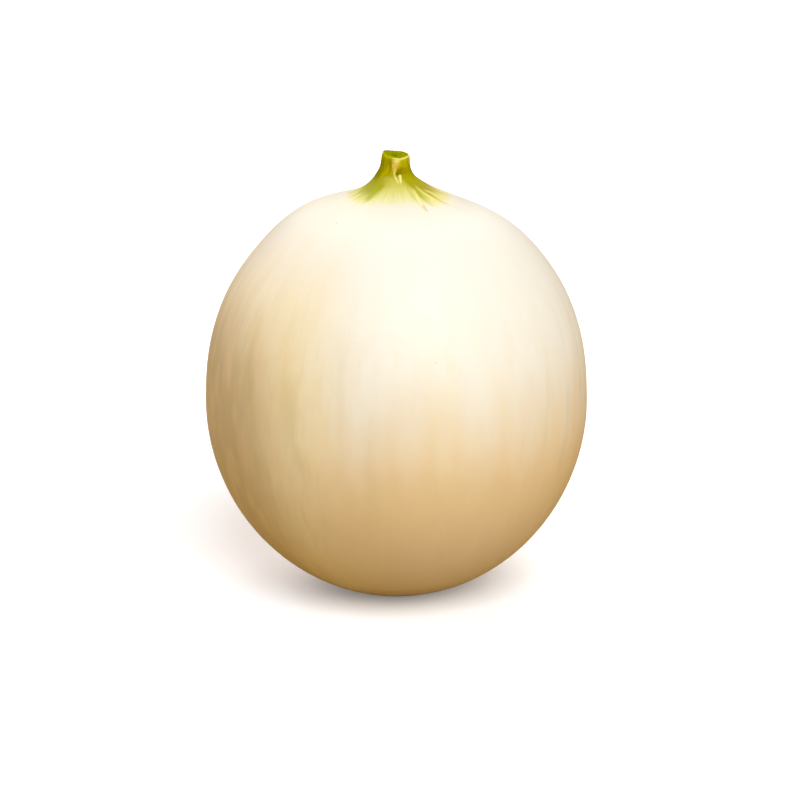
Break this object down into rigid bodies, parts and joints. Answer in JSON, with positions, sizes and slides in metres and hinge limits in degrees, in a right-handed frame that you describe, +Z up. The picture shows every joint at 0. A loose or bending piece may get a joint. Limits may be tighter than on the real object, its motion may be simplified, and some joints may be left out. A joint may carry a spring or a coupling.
{
  "type": "sweet melon",
  "caption": "Whole round sweet melon with smooth cream rind and a flared, cut green stalk stub, resting upright on a small flat spot at its blossom end.",
  "frame": {"origin": "centre of the small flat spot at the blossom end, on the surface that the melon stands on", "axes": "+Z up along the fruit's own axis, from the blossom end to the stalk; -Y is the front; +X is the side that the stalk's cut face falls towards"},
  "size_m": [0.1506, 0.1494, 0.1756],
  "materials": {
    "rind": "smooth waxy rind with a soft sheen, cream with faint straw and olive streaks from pole to pole and green rays under the stalk",
    "stalk": "fresh ribbed olive-green stalk, satin, with a moist darker cut face"
  },
  "bodies": {
    "root": {"fruit": "rind", "stalk": "stalk"}
  },
  "joints": []
}
